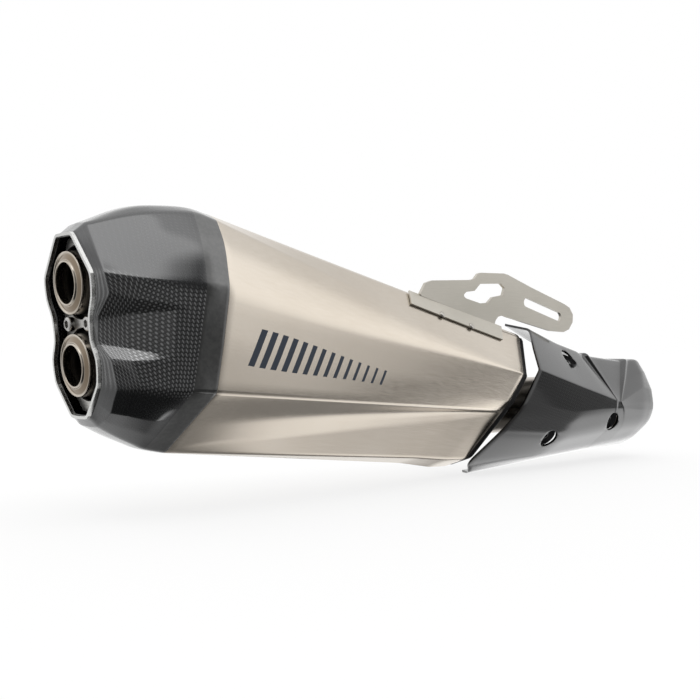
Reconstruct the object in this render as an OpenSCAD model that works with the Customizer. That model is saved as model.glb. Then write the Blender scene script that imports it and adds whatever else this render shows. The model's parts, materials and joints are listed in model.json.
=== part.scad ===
// Slip-on racing silencer with twin outlets, carbon end cap and carbon heat shield.
// +X runs forward to the inlet, +Y is the wheel side (left), +Z is up.
// The origin is the centre of the inlet bore, at its open face.
// The silencer lies in its own frame (can frame): x along its axis towards the front,
// z up at right angles to it, origin in the middle between the two outlets.
// The outlets have a third frame (outlet frame): x inwards along both outlets,
// z up along the raked mouth plane, the same origin as the can frame.

/* [Silencer body] */
// Distance from the inlet face back to the middle of the outlets
overall_l = 684; // [680:1:696]
// Pitch of the silencer axis, rear end up, degrees
can_pitch = 9.5; // [8.5:0.5:10]
// Wall of the titanium sleeve
sleeve_t = 1.4; // [1.2:0.1:1.8]
// Wall of the carbon end cap
cap_t = 2.8; // [2.4:0.1:3]
// How far the upper flank of the sleeve bulges out
ridge_h = 3.2; // [1:0.2:4]
// Depth of the pressed flute below the side crease
flute_h = 2.6; // [0.5:0.1:3]

/* [Outlets] */
// Rake of the outlet mouth plane in the can frame, degrees
mouth_rake = 15; // [14:0.5:16]
// Distance between the two outlet centres
tip_pitch = 57; // [56:0.5:58]
// Outer diameter of an outlet tip
tip_od = 44; // [42:0.5:45]
// Bore of an outlet tip
tip_bore = 28.4; // [27:0.1:29]
// Depth of the cover plate behind the mouth plane
plate_recess = 8.5; // [7.5:0.5:9]
// Length of each damper tube behind its tip
damper_l = 105; // [80:5:110]

/* [Inlet] */
// Bore of the slotted inlet sleeve
inlet_bore = 60.5; // [60:0.1:61]
// Outer diameter of the inlet pipe
pipe_od = 54; // [52:0.5:56]
// Wall of the inlet pipe
pipe_t = 1.5; // [1:0.1:2]
// Width of the clamp band
band_w = 18; // [16:1:20]

/* [Mounting bracket] */
// Thickness of the bracket plate
bracket_t = 3; // [2.5:0.1:4]
// Width of the adjustment slot
slot_w = 9; // [8.4:0.1:9.5]

/* [Heat shield] */
// Wall of the carbon heat shield
shield_t = 2.2; // [1.8:0.1:2.6]
// Height of the ribs that run to the point on the shield's side
rib_h = 3.2; // [1:0.2:4]

/* [Hidden] */
joint_x = 84;        // can frame x of the joint between cap and sleeve
front_x = 421.5;     // can frame x of the sleeve's front edge on the axis
front_k = 0.45;      // rake of the sleeve's front edge, dx/dz
cap_len = 8;         // how far the black front cap's collar stands ahead of that edge
mouth_z = 72.5;      // height of the middle of the outlets above the inlet axis
tip_r = tip_od / 2;
bore_r = tip_bore / 2;
screw_y = 14.6;      // the plate screws sit this far each side of the middle
pipe_r = pipe_od / 2;
band_r = inlet_bore / 2 + 1.8;   // outside of the inlet sleeve
back_x = 690 - overall_l;        // moves the shield and bracket with the body
module with_body() translate([back_x, 0, 0]) children();

module in_can() translate([-overall_l, 0, mouth_z]) rotate([0, can_pitch, 0]) children();
module in_outlet() in_can() rotate([0, -mouth_rake, 0]) children();
// puts a cylinder's +z along the outlet frame's x, on one of the two outlet axes
module on_outlet(up) in_outlet() translate([0, 0, up * tip_pitch / 2]) rotate([0, 90, 0]) children();

// ---------- rings, grids and shells ----------
function o2c(p) = let (c = cos(mouth_rake), s = sin(mouth_rake))
  [p[0] * c - p[2] * s, p[1], p[0] * s + p[2] * c];
function unit(v) = v / max(norm(v), 1e-6);
// a half profile from crown to keel becomes a full ring
function mirrored(h) = concat(h, [for (i = [len(h) - 2 : -1 : 1]) [h[i][0], -h[i][1], h[i][2]]]);
function mirlist(r) = concat(r, [for (i = [len(r) - 2 : -1 : 1]) r[i]]);
// three points that round one corner, or the corner itself where r is 0
function corner(a, b, c, r) = r == 0 ? [b] :
  let (d1 = min(r, 0.42 * norm(a - b)), d2 = min(r, 0.42 * norm(c - b)),
       p = b + unit(a - b) * d1, q = b + unit(c - b) * d2)
  [p, 0.25 * p + 0.5 * b + 0.25 * q, q];
function ring(P, R) = let (n = len(P)) [for (i = [0 : n - 1])
  each corner(P[(i + n - 1) % n], P[i], P[(i + 1) % n], R[i])];
function strip(P, R) = let (n = len(P)) [for (i = [0 : n - 1])
  each (i == 0 || i == n - 1 ? [P[i]] : corner(P[i - 1], P[i], P[i + 1], R[i]))];
// the ring moved inwards by t, square to its own outline, at the same x
function inset(P, t, open = false) = let (n = len(P)) [for (i = [0 : n - 1])
  let (a = P[open ? max(i - 1, 0) : (i + n - 1) % n], b = P[i], c = P[open ? min(i + 1, n - 1) : (i + 1) % n],
       u = unit([b[1] - a[1], b[2] - a[2]]), v = unit([c[1] - b[1], c[2] - b[2]]),
       s = norm(u) < 0.5 ? v : norm(v) < 0.5 ? u : unit(u + v),
       k = 1 / max(0.75, norm(u) < 0.5 || norm(v) < 0.5 ? 1 : s * u))
  [b[0], b[1] + s[1] * t * k, b[2] - s[0] * t * k]];
function flat(L) = [for (a = L) each a];
function quads(m, n, o, flip, wrap) = [for (i = [0 : m - 2]) for (j = [0 : n - (wrap ? 1 : 2)])
  let (j2 = (j + 1) % n, a = o + i * n + j, b = o + i * n + j2, c = o + (i + 1) * n + j2, d = o + (i + 1) * n + j)
  each (flip ? [[a, c, b], [a, d, c]] : [[a, b, c], [a, c, d]])];
// a wall between an outer and an inner grid of closed rings, open at both ends
module tube_shell(O, I) {
  m = len(O); n = len(O[0]); q = m * n; e = (m - 1) * n;
  polyhedron(points = concat(flat(O), flat(I)), faces = concat(
    quads(m, n, 0, false, true), quads(m, n, q, true, true),
    [for (j = [0 : n - 1]) let (k = (j + 1) % n) each [[j, q + k, k], [j, q + j, q + k]]],
    [for (j = [0 : n - 1]) let (k = (j + 1) % n) each [[e + j, e + k, q + e + k], [e + j, q + e + k, q + e + j]]]));
}
// the same for strips that stay open along one side
module strip_shell(O, I) {
  m = len(O); n = len(O[0]); q = m * n; e = (m - 1) * n;
  polyhedron(points = concat(flat(O), flat(I)), faces = concat(
    quads(m, n, 0, false, false), quads(m, n, q, true, false),
    [for (j = [0 : n - 2]) each [[j, q + j + 1, j + 1], [j, q + j, q + j + 1]]],
    [for (j = [0 : n - 2]) each [[e + j, e + j + 1, q + e + j + 1], [e + j, q + e + j + 1, q + e + j]]],
    [for (i = [0 : m - 2]) let (a = i * n, b = a + n) each [[a, q + b, q + a], [a, b, q + b]]],
    [for (i = [0 : m - 2]) let (a = i * n + n - 1, b = a + n) each [[a, q + a, q + b], [a, q + b, b]]]));
}
// a solid between rings, with flat ends
module ring_solid(O) {
  m = len(O); n = len(O[0]);
  polyhedron(points = flat(O), faces = concat(quads(m, n, 0, false, true),
    [[for (j = [n - 1 : -1 : 0]) j]], [[for (j = [0 : n - 1]) (m - 1) * n + j]]));
}

// ---------- sleeve ----------
// key points of half a section: crown, top edge, diagonal ridge, shoulder, side,
// side crease, flute, lower diagonal, bottom edge, keel. [y, z] at the rear, at the
// front, and the outward swell half way along.
function mix(a, b, t) = a + (b - a) * t;
T0 = [18, 99];    T1 = [22, 74];
D0 = [33, 92];    D1 = [45.7, 35.5];
W0 = [62, 40.5];  W1 = [48, 32.2];
L0 = [64, -34];   L1 = [41, -6];
B0 = [8, -80];    B1 = [21, -54];
SK = [
  [[0, 100.2],           [0, 76],               [0, 0]],
  [T0,                   T1,                    [0, 0]],
  [D0,                   D1,                    [0, 0]],
  [mix(D0, W0, 0.43) + [0.87, 0.49] * ridge_h, mix(D1, W1, 0.5), [0, 0]],
  [W0,                   W1,                    [0, 0]],
  [[64, 0],              [45, 4.5],             [0, 0]],
  [L0,                   L1,                    [0.8, 0]],
  [mix(L0, B0, 0.45),    [40.6, -6.9],          [-0.64, 0.77] * flute_h],
  [mix(L0, B0, 0.88),    [40.2, -7.8],          [0.5, -1.2]],
  [B0,                   B1,                    [0, 0]],
  [[0, -80.4],           [0, -62],              [0, 0]]];
SR = mirlist([0, 6, 3, 16, 9, 0, 3, 0, 2, 2.5, 0]);
// low boss under the front edge
function boss(k, s) = k < 9 ? 0 : (k == 9 ? 1 : 2.6) * max(0, 1 - abs(s - 0.93) / 0.13);
function skey(k, s) = let (a = SK[k][0], b = SK[k][1], p = mix(a, b, s) + SK[k][2] * 4 * s * (1 - s) - [0, boss(k, s)],
  x1 = front_x + front_k * b[1]) [mix(joint_x, x1, s), p[0], p[1]];
function sring(s) = ring(mirrored([for (k = [0 : len(SK) - 1]) skey(k, s)]), SR);
// the flat section at can frame x
function skeyx(k, x) = skey(k, (x - joint_x) / (front_x + front_k * SK[k][1][1] - joint_x));
function sringx(x) = ring(mirrored([for (k = [0 : len(SK) - 1]) skeyx(k, x)]), SR);

module outer_sleeve() color([0.72, 0.68, 0.61]) in_can() {
  S = [for (s = [0, 0.1, 0.2, 0.3, 0.4, 0.5, 0.6, 0.7, 0.8, 0.86, 0.93, 1]) sring(s)];
  tube_shell(S, [for (r = S) inset(r, sleeve_t)]);
}

// outline of the front cap: dx ahead of the sleeve's raked edge, t inside its wall,
// drawn in towards the can axis by k
EDGE1 = let (P = sring(1), n = len(P)) [for (i = [0 : n - 1]) max(1, round(norm(P[(i + 1) % n] - P[i]) / 6.5))];
function split(P) = let (n = len(P)) [for (i = [0 : n - 1]) for (j = [0 : EDGE1[i] - 1]) mix(P[i], P[(i + 1) % n], j / EDGE1[i])];
function cap_ring(dx, t, k) = [for (p = split(inset(sring(1), sleeve_t + t)))
  [front_x + front_k * p[2] * k + dx, p[1] * k, p[2] * k]];
// the circle where the cap closes on the inlet pipe, one point for each point of the outline
function neck_ring(dx, r) = [for (p = cap_ring(dx, 0.7, 0.7)) let (u = unit([p[1], p[2]]),
  x = front_x + front_k * r * u[1] + dx, up = pow(max(0, x - bend_c + bend_t), 2) / (2 * bend_r)) [x, r * u[0], r * u[1] + up]];
module front_cap() color([0.1, 0.1, 0.11]) in_can()
  tube_shell([cap_ring(-9, 0.6, 1), cap_ring(0, 0.35, 1), cap_ring(cap_len, 0.7, 1), cap_ring(cap_len + 2.2, 0.7, 0.975),
      cap_ring(cap_len + 4, 0.7, 0.92), neck_ring(cap_len + 9, pipe_r + 1.5), neck_ring(cap_len + 9.6, pipe_r + 0.55)],
    [cap_ring(-9, 1.9, 1), cap_ring(0, 1.75, 1), cap_ring(cap_len - 1, 2.1, 1), cap_ring(cap_len + 0.6, 2.1, 0.97),
      cap_ring(cap_len + 2.3, 2.1, 0.91), neck_ring(cap_len + 7.4, pipe_r + 1.5), neck_ring(cap_len + 7.4, pipe_r + 0.55)]);

module rear_bulkhead() color([0.5, 0.48, 0.45]) in_can() difference() {
  union() {
    a = inset(sringx(88), sleeve_t + 0.4);
    ring_solid([a, [for (p = a) [90, p[1], p[2]]]]);
    b = inset(sringx(89), sleeve_t + 0.4); c = inset(sringx(100), sleeve_t + 0.4);
    tube_shell([b, c], [inset(sringx(89), sleeve_t + 1.9), inset(sringx(100), sleeve_t + 1.9)]);
  }
  for (u = [-1, 1]) rotate([0, -mouth_rake, 0]) translate([60, 0, u * tip_pitch / 2])
    rotate([0, 90, 0]) cylinder(h = 80, r = 21.55, $fn = 96);
}

// ---------- end cap ----------
// half outline of the mouth in the outlet frame, crown to keel
RIM = [[0, 62.9], [8, 62.8], [12, 62.7], [24, 48.15], [36, 33.6], [35.5, 17.6], [28.5, 5.5],
  [27.5, -11.6], [34.5, -23.9], [33, -40.7], [27.5, -47.2], [22, -53.5], [16.5, -59.8], [11.8, -65.2], [0, -65.6]];
function rim_ring(x) = [for (p = RIM) o2c([x, p[0], p[1]])];
// half sections of the cap, crown to keel, [x, y, z] in the can frame
CAPK = [
  rim_ring(2.6),
  [[-7.5, 0, 70], [-7.2, 9, 69.6], [-7, 13.5, 69.3], [-4.8, 28.4, 51.4], [-2.6, 43.3, 33.2], [3, 44, 20.5],
   [3.6, 31, 5], [6, 31, -11], [13, 42, -23.2], [20, 42, -40.6], [21, 37.6, -48.5], [22.7, 33, -56.8],
   [24, 23.5, -62.5], [25, 13.5, -67.2], [25, 0, -67.8]],
  [[20, 0, 87.5], [20, 11.5, 86.5], [20, 19, 81.2], [21, 36, 58.3], [22, 51, 34], [20, 50.5, 19.5],
   [20, 39, 10.5], [23, 41, -12.3], [25, 48.5, -21.5], [33, 50.5, -38.8], [34, 44.5, -48], [35, 38.5, -57.5],
   [37, 26.5, -65], [39, 12.5, -72], [39, 0, -72.6]],
  [[46, 0, 96.6], [46, 15, 95.5], [46, 25, 89.8], [46, 43.5, 64.3], [46, 57.3, 36], [48, 57.2, 20.8],
   [49, 56.4, 18.2], [52, 56.8, -12.8], [53, 57.2, -15.6], [54, 57.8, -36.8], [54, 49, -47.3], [54, 39.6, -58.3],
   [55, 26.5, -67.8], [56, 10.5, -76.6], [56, 0, -77.2]],
  [[66, 0, 100.4], [66, 17, 99.3], [66, 29, 94], [66, 48, 68.6], [66, 61.2, 38.8], [66, 61.8, 24],
   [66, 62.1, 12], [66, 62.5, -2], [66, 62.7, -18], [66, 62.9, -35.4], [66, 49.8, -46.6], [66, 37.4, -57.2],
   [66, 23.4, -68.8], [66, 9, -79], [66, 0, -79.4]],
  [[84, 0, 100.2], [84, 18, 99], [84, 33, 92], [84, 49.1, 71.9], [84, 62, 40.5], [84, 62.7, 27],
   [84, 63.3, 14], [84, 64, 0], [84, 64, -18], [84, 64, -34], [84, 50, -45.5], [84, 36.6, -56.5],
   [84, 22.5, -68.1], [84, 8, -80], [84, 0, -80.4]]];
CAPR = mirlist([0, 5, 2, 18, 9, 0, 0, 0, 0, 3, 0, 0, 0, 2.5, 0]);
CAPR0 = mirlist([0, 0, 4, 0, 4, 6, 5, 5, 5, 6, 0, 0, 0, 3, 0]);
module end_cap() color([0.14, 0.14, 0.15]) in_can() {
  // the first row lies in the mouth plane, so it is inset in the outlet frame
  M = ring(mirrored([for (p = RIM) [2.6, p[0], p[1]]]), CAPR);
  O = [for (i = [1 : len(CAPK) - 1]) ring(mirrored(CAPK[i]), CAPR)];
  tube_shell(concat([[for (p = M) o2c(p)]], O),
    concat([[for (p = inset(M, cap_t)) o2c(p)]], [for (r = O) inset(r, cap_t)]));
}

// outline of the mouth as a flat shape, inset by t; its x runs to the right
module mouth_outline(t) {
  r = ring(mirrored([for (p = RIM) [0, p[0], p[1]]]), CAPR0);
  polygon([for (p = inset(r, t)) [-p[2], p[1]]]);
}
// a plate across the mouth from outlet frame x0 to x1
module mouth_plate(x0, x1, t) translate([x0, 0, 0]) rotate([0, 90, 0]) linear_extrude(x1 - x0) mouth_outline(t);

module outlet_rim_trim() color([0.8, 0.8, 0.78]) in_outlet() difference() {
  mouth_plate(0, 2.5, 0);
  mouth_plate(-1, 4, 2.1);
}

// ---------- removable noise damper: tips, plates, tubes and screws ----------
module outlet_plate() color([0.75, 0.75, 0.73]) in_outlet() difference() {
  mouth_plate(plate_recess, plate_recess + 2, cap_t + 1);
  for (u = [-1, 1]) translate([0, 0, u * tip_pitch / 2]) rotate([0, 90, 0]) cylinder(h = 40, r = tip_r + 3.8, $fn = 96);
  for (y = [-screw_y, screw_y]) translate([0, y, 0]) rotate([0, 90, 0]) cylinder(h = 40, r = 2.7, $fn = 32);
}
module tip_carrier_plate() color([0.25, 0.25, 0.25]) in_outlet() difference() {
  mouth_plate(15, 17, cap_t + 1);
  for (u = [-1, 1]) translate([0, 0, u * tip_pitch / 2]) rotate([0, 90, 0]) cylinder(h = 40, r = tip_r + 0.02, $fn = 96);
  for (y = [-screw_y, screw_y]) translate([0, y, 0]) rotate([0, 90, 0]) cylinder(h = 40, r = 2.7, $fn = 32);
}
module outlet_plate_screws() color([0.7, 0.7, 0.7]) in_outlet()
  for (y = [-screw_y, screw_y]) translate([0, y, 0]) rotate([0, 90, 0]) difference() {
    union() {
      translate([0, 0, plate_recess - 4.8]) rotate_extrude($fn = 48)
        polygon([[0, 0], [4.3, 0], [5, 0.25], [5.4, 0.9], [5.5, 1.6], [5.5, 4.8], [0, 4.8]]);
      translate([0, 0, plate_recess - 0.5]) cylinder(h = 27 - plate_recess, r = 2.45, $fn = 32);
    }
    translate([0, 0, plate_recess - 5.5]) cylinder(h = 3.4, r = 2.9, $fn = 6);
  }
// two rolled beads with a shallow cone between them; the inner bead stands 2 mm further out
module tip() rotate_extrude($fn = 128) polygon([[bore_r, 21.5], [bore_r, -0.9], [bore_r + 0.15, -1.5], [bore_r + 0.6, -1.85],
  [bore_r + 1.1, -1.75], [bore_r + 1.45, -1.35], [bore_r + 1.7, -0.7], [tip_r - 1.6, 0.95], [tip_r - 1.35, 0.5], [tip_r - 0.95, 0.2],
  [tip_r - 0.5, 0.25], [tip_r - 0.15, 0.6], [tip_r, 1.2], [tip_r, 21.5]]);
module upper_outlet_tip() color([0.72, 0.66, 0.58]) on_outlet(1) tip();
module lower_outlet_tip() color([0.72, 0.66, 0.58]) on_outlet(-1) tip();
module damper_tube() difference() {
  translate([0, 0, 21.5]) cylinder(h = damper_l, r = 18, $fn = 96);
  translate([0, 0, 20]) cylinder(h = damper_l + 10, r = bore_r, $fn = 96);
  for (i = [0 : 4]) translate([0, 0, 50 + i * 15]) rotate([0, 0, i * 30]) {
    rotate([90, 0, 0]) cylinder(h = 60, r = 3, center = true, $fn = 24);
    rotate([0, 90, 0]) cylinder(h = 60, r = 3, center = true, $fn = 24);
  }
}
module upper_damper_tube() color([0.5, 0.47, 0.42]) on_outlet(1) damper_tube();
module lower_damper_tube() color([0.5, 0.47, 0.42]) on_outlet(-1) damper_tube();

// ---------- fixed outlet pipes inside the body ----------
module outlet_seat_plate() color([0.4, 0.4, 0.4]) in_outlet() difference() {
  mouth_plate(23, 27, cap_t + 2.2);
  for (u = [-1, 1]) translate([0, 0, u * tip_pitch / 2]) rotate([0, 90, 0]) cylinder(h = 40, r = 21.52, $fn = 96);
  for (y = [-screw_y, screw_y]) translate([0, y, 0]) rotate([0, 90, 0]) cylinder(h = 40, r = 2.9, $fn = 32);
}
module fixed_pipe() difference() {
  translate([0, 0, 23]) cylinder(h = 127, r = 21.5, $fn = 96);
  translate([0, 0, 20]) cylinder(h = 140, r = 19.3, $fn = 96);
}
module upper_outlet_pipe() color([0.55, 0.53, 0.5]) on_outlet(1) fixed_pipe();
module lower_outlet_pipe() color([0.55, 0.53, 0.5]) on_outlet(-1) fixed_pipe();

// ---------- perforated core, its baffles and the packing ----------
module baffle(x) {
  b = inset(sringx(x + 2), sleeve_t + 0.15);
  ring_solid([[for (p = b) [x, p[1], p[2]]], b]);
}
module rear_baffle() color([0.55, 0.53, 0.5]) in_can() difference() {
  baffle(170);
  translate([160, 0, 0]) rotate([0, 90, 0]) cylinder(h = 20, r = pipe_r + 0.02, $fn = 96);
  for (u = [-1, 1]) translate([160, 0, u * 52]) rotate([0, 90, 0]) cylinder(h = 20, r = 9, $fn = 48);
}
module front_baffle() color([0.55, 0.53, 0.5]) in_can() difference() {
  baffle(372);
  translate([360, 0, 0]) rotate([0, 90, 0]) cylinder(h = 20, r = pipe_r + 0.02, $fn = 96);
}
module perforated_core() color([0.6, 0.58, 0.55]) in_can() rotate([0, 90, 0]) difference() {
  translate([0, 0, 160]) cylinder(h = 218, r = pipe_r, $fn = 96);
  translate([0, 0, 150]) cylinder(h = 240, r = pipe_r - pipe_t, $fn = 96);
  for (i = [0 : 8]) for (a = [0 : 2]) translate([0, 0, 190 + i * 20]) rotate([0, 0, a * 60 + (i % 2) * 30])
    rotate([90, 0, 0]) cylinder(h = 80, r = 3, center = true, $fn = 24);
}
module packing() color([0.85, 0.83, 0.75]) in_can() rotate([0, 90, 0]) difference() {
  translate([0, 0, 172.2]) cylinder(h = 199.6, r1 = 41, r2 = 33, $fn = 96);
  translate([0, 0, 160]) cylinder(h = 230, r = pipe_r + 0.05, $fn = 96);
}

// ---------- inlet ----------
bend_r = 160;
bend_t = bend_r * tan(can_pitch / 2);
// x, in the part frame, where the can axis meets the inlet axis
bend_x = -overall_l + mouth_z / tan(can_pitch);
bend_c = mouth_z / sin(can_pitch);     // the same point along the can axis
// stations along the pipe, [centre, pitch], from the can forwards
pipe_path = concat([for (c = [378.1, 395]) [[c * cos(can_pitch) - overall_l, 0, mouth_z - c * sin(can_pitch)], can_pitch]],
  [for (i = [0 : 8]) let (f = can_pitch * (1 - i / 8)) [[bend_x + bend_t - bend_r * sin(f), 0, bend_r * (1 - cos(f))], f]],
  [[[-48, 0, 0], 0]]);
function pipe_ring(q, r) = [for (i = [0 : 63]) let (a = i * 5.625) q[0] + r * [cos(a) * sin(q[1]), sin(a), cos(a) * cos(q[1])]];
module inlet_pipe() color([0.62, 0.58, 0.53])
  tube_shell([for (q = pipe_path) pipe_ring(q, pipe_r)], [for (q = pipe_path) pipe_ring(q, pipe_r - pipe_t)]);
module inlet_sleeve() color([0.66, 0.62, 0.56]) difference() {
  rotate([0, -90, 0]) rotate_extrude($fn = 128) polygon([[inlet_bore / 2, 0], [inlet_bore / 2, 40],
    [pipe_r - pipe_t, 46], [pipe_r - pipe_t, 48], [pipe_r, 48], [pipe_r + 0.5, 47.2], [band_r, 41], [band_r, 0]]);
  for (a = [45, 135, 225, 315]) rotate([a, 0, 0]) translate([-28, -1.2, 20]) cube([40, 2.4, 20]);
}
module inlet_clamp_band() color([0.68, 0.68, 0.68]) translate([-8, 0, 0]) rotate([0, -90, 0]) difference() {
  union() {
    cylinder(h = band_w, r = band_r + 1.6, $fn = 128);
    for (s = [-1, 1]) translate([s > 0 ? 4 : -8, band_r, 0]) cube([4, 13, band_w]);
  }
  translate([0, 0, -1]) cylinder(h = band_w + 2, r = band_r + 0.02, $fn = 128);
  translate([-4, 20, -1]) cube([8, 40, band_w + 2]);
  translate([-20, band_r + 6.5, band_w / 2]) rotate([0, 90, 0]) cylinder(h = 40, r = 3.3, $fn = 32);
}
bolt_y = inlet_bore / 2 + 1.8 + 6.5;
module inlet_clamp_bolt() color([0.6, 0.6, 0.62]) translate([-8 - band_w / 2, bolt_y, 0]) {
  translate([0, 0, -15]) cylinder(h = 23, r = 3.2, $fn = 32);
  difference() {
    translate([0, 0, 8]) cylinder(h = 6, r = 5, $fn = 48);
    translate([0, 0, 11]) cylinder(h = 5, r = 2.9, $fn = 6);
  }
}
module inlet_clamp_nut() color([0.6, 0.6, 0.62]) translate([-8 - band_w / 2, bolt_y, -13.5]) difference() {
  cylinder(h = 5.5, r = 5.7, $fn = 6);
  translate([0, 0, -1]) cylinder(h = 8, r = 3.2, $fn = 32);
}

// ---------- mounting bracket ----------
// station s along the top edge: a point d below the edge on the sloping face, h off it
function face(s, d, h) = let (a = skey(1, s), b = skey(2, s), u = unit(b - a), n = unit([0, -u[2], u[1]]))
  [a[0] + u[0] * d, -(a[1] + u[1] * d + n[1] * h), a[2] + u[2] * d + n[2] * h];
module strap(s0, s1, d0, d1, h0, h1, n) {
  O = [for (i = [0 : n]) let (s = mix(s0, s1, i / n)) [face(s, d0, h0), face(s, d1, h0), face(s, d1, h1), face(s, d0, h1)]];
  ring_solid(O);
}
rivet_s = [0.685, 0.795];
rivet_d = 17;
module mounting_bracket() color([0.68, 0.66, 0.61]) difference() {
  union() {
    with_body() translate([0, -22 + bracket_t / 2, 0]) rotate([90, 0, 0]) linear_extrude(bracket_t) difference() {
      offset(2, $fn = 24) offset(-2) offset(-2) offset(2, $fn = 24) polygon([[-371, 103.6], [-363, 115], [-355, 117.5], [-302, 120.5], [-297, 122],
        [-292, 127], [-288, 128], [-254, 129], [-248, 128], [-211, 117], [-157, 102.5], [-148, 99], [-142, 92], [-142.5, 84],
        [-149, 76.5], [-158, 73.5], [-181, 74.5], [-247, 86.5], [-256, 88.5], [-263, 87], [-267, 83], [-268, 79.6], [-275, 81]]);
      offset(1.5, $fn = 20) offset(-1.5) polygon([[-313, 105.5], [-309, 109], [-297, 110.5], [-289, 117.5], [-259, 119], [-253, 115],
        [-256, 108], [-271, 105.5], [-278, 100], [-289, 99], [-309, 103]]);
      translate([-219, 102.1]) circle(d = slot_w, $fn = 48);
      translate([-167, 89.2]) circle(d = slot_w, $fn = 48);
      translate([-193, 95.65]) rotate(-13.93) square([53.6, slot_w], center = true);
    }
    in_can() strap(0.575, 0.92, 0.6, 18.5, 0.4, 1.9, 10);
  }
  for (s = rivet_s) bracket_hole(s);
}
// carries its children to a rivet's place, z along the face's normal
module at_rivet(s) {
  p = face(s, rivet_d, 0); q = face(s, rivet_d, 1); n = q - p;
  in_can() translate(p) rotate([0, acos(n[2] / norm(n)), atan2(n[1], n[0])]) children();
}
module bracket_hole(s) at_rivet(s) translate([0, 0, -2]) cylinder(h = 8, r = 2.05, $fn = 32);
module bracket_rivets() color([0.3, 0.3, 0.3]) for (s = rivet_s) at_rivet(s) {
  translate([0, 0, 0.6]) cylinder(h = 1.75, r = 1.95, $fn = 32);
  translate([0, 0, 2.05]) rotate_extrude($fn = 32) polygon([[0, 0], [3.2, 0], [3.1, 0.5], [2.4, 1], [1.2, 1.25], [0, 1.3]]);
}

// ---------- heat shield ----------
// rows from the rear edge to the front edge; each runs from the far top edge over the
// ridge and the side crease, down the side and under to the far bottom edge
up_n = [0, -0.84, 0.54];
HR = [[-217, 6, 79.5], [-219, -26, 74], [-229.5, -39, 55.5], [-237.5, -52, 36], [-264, -50, -1], [-283, -42, -21], [-305, -21, -50], [-290, -8, -60.5], [-284, 4, -61]];
HM = [[-166, 10, 61.5], [-166, -20, 60], [-164, -34.5, 38.5], [-162, -49, 17], [-176, -49.5, -12], [-190, -43.5, -31], [-203, -22, -51], [-197, -8, -55], [-192, 5, -55.3]];
HA = [[-112, 12, 49.5], [-111, -16, 48.4], [-106, -32, 25.5], [-100, -47.5, 2], [-102, -48, -8], [-108, -44, -25], [-117, -23, -47], [-120, -8, -51], [-120, 5, -51.2]];
HB = [[-36, 14, 43], [-34, -16, 42.4], [-63, -32, 22.5], [-93, -47.5, 0], [-86, -47.5, -8], [-84, -43.6, -25], [-88, -25, -44.5], [-92, -9, -50.5], [-92, 5, -50.6]];
HF = [[-16, 14, 43], [-15, -15.8, 42.6], [-22, -29, 29], [-38, -40.5, 13], [-42, -45.3, -7], [-46, -43, -23], [-54, -27, -42], [-56, -10, -49.5], [-55, 5, -49.8]];
HE = [[-10, 14, 42.5], [-10.4, -15.5, 42], [-12.3, -26, 28.5], [-17, -37.5, 10], [-21.5, -43, -8.4], [-28, -41, -23], [-37.8, -27, -40.5], [-31, -10, -49], [-30, 5, -49.3]];
SHR = [0, 5, 0, 2.5, 0, 9, 9, 5, 0];
// a row shifted along x by dx and off the face by h between the top ridge and the side point
function srow(R, dx, h) = [for (i = [0 : len(R) - 1]) let (w = i == 1 ? 1 : i == 2 ? 0.75 : i == 3 ? 0.12 : 0)
  R[i] + [dx * (i == 0 ? 1 : i == 1 ? 1 : i == 2 ? 0.7 : 0.25), 0, 0] + up_n * h * w];
SH = [HR, mix(HR, HM, 0.5), HM, mix(HM, HA, 0.5), srow(HA, -6, 0), srow(HA, 0, rib_h), srow(HA, 6, -rib_h), srow(HB, -6, -rib_h), srow(HB, 0, rib_h * 0.5),
  srow(HB, 6, -1), HF, HE];
// the three fixings: x, then the direction from the pipe axis, then the distance to the shield's face
FIX = [[-208, [-42, -32.5], 51], [-105, [-43.6, -19], 48.4], [-160, [-31, 46], 54.5]];
module on_fix(f) with_body() translate([f[0], 0, 0]) rotate([atan2(-f[1][0], f[1][1]), 0, 0]) children();
module heat_shield() color([0.2, 0.21, 0.22]) difference() {
  O = [for (r = SH) strip([for (p = r) [p[0], -p[1], p[2]]], SHR)];
  with_body() mirror([0, 1, 0]) strip_shell(O, [for (r = O) inset(r, shield_t, true)]);
  for (f = FIX) on_fix(f) translate([0, 0, f[2] - 12]) cylinder(h = 30, r = 10, $fn = 64);
}
module shield_cup_washers() color([0.15, 0.15, 0.15]) for (f = FIX) on_fix(f) translate([0, 0, f[2]]) rotate_extrude($fn = 64)
  polygon([[3.3, -7], [7.2, -7], [9.98, -3], [9.98, -0.6], [9, -0.6], [8.4, -2.6], [6.4, -5.4], [3.3, -5.4]]);
module shield_screws() color([0.4, 0.4, 0.42]) for (f = FIX) on_fix(f) translate([0, 0, f[2]]) difference() {
  union() {
    translate([0, 0, -5.4]) rotate_extrude($fn = 48) polygon([[0, 0], [5, 0], [5, 0.9], [4.5, 2], [3.4, 2.8], [2.2, 3.1], [0, 3.1]]);
    translate([0, 0, -15]) cylinder(h = 10, r = 2.95, $fn = 32);
  }
  translate([0, 0, -4]) cylinder(h = 3, r = 2, $fn = 6);
}
module shield_standoffs() color([0.6, 0.57, 0.52]) difference() {
  for (f = FIX) on_fix(f) translate([0, 0, 20]) cylinder(h = f[2] - 27, r = 6.5, $fn = 48);
  translate([-230, 0, 0]) rotate([0, 90, 0]) cylinder(h = 200, r = pipe_r + 0.02, $fn = 96);
  for (f = FIX) on_fix(f) translate([0, 0, f[2] - 17]) cylinder(h = 30, r = 3, $fn = 32);
}

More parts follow.
